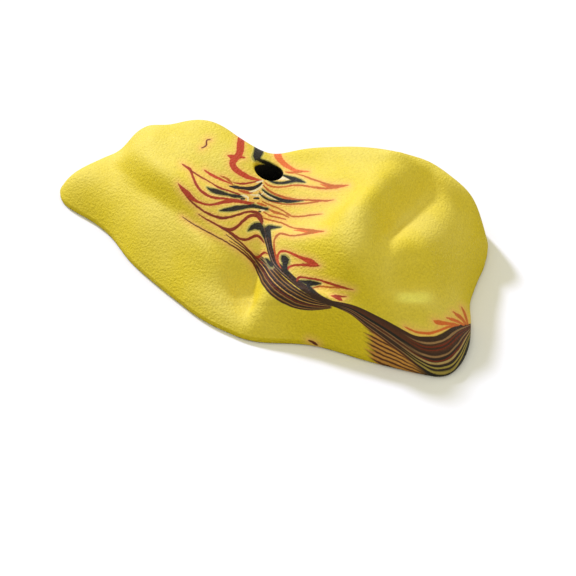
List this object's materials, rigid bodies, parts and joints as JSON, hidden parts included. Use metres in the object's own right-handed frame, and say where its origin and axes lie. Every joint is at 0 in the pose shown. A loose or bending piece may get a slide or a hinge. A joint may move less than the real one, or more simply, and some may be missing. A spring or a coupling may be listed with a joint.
{
  "type": "climbing hold",
  "caption": "Large freeform hollow-backed climbing hold with one counterbored bolt hole, moulded-in washers and set-screw holes.",
  "frame": {"origin": "middle of the flat back, on the plane of the wall", "axes": "+X along the hold towards the marbled corner, +Y across it, +Z away from the wall"},
  "size_m": [0.335, 0.1979, 0.0769],
  "materials": {
    "body": "matt, finely pitted",
    "washer_steel": "zinc plated"
  },
  "bodies": {
    "hold": {"hold_body": "body", "bolt_washer": "washer_steel", "set_screw_washer_left": "washer_steel", "set_screw_washer_right": "washer_steel"}
  },
  "joints": []
}
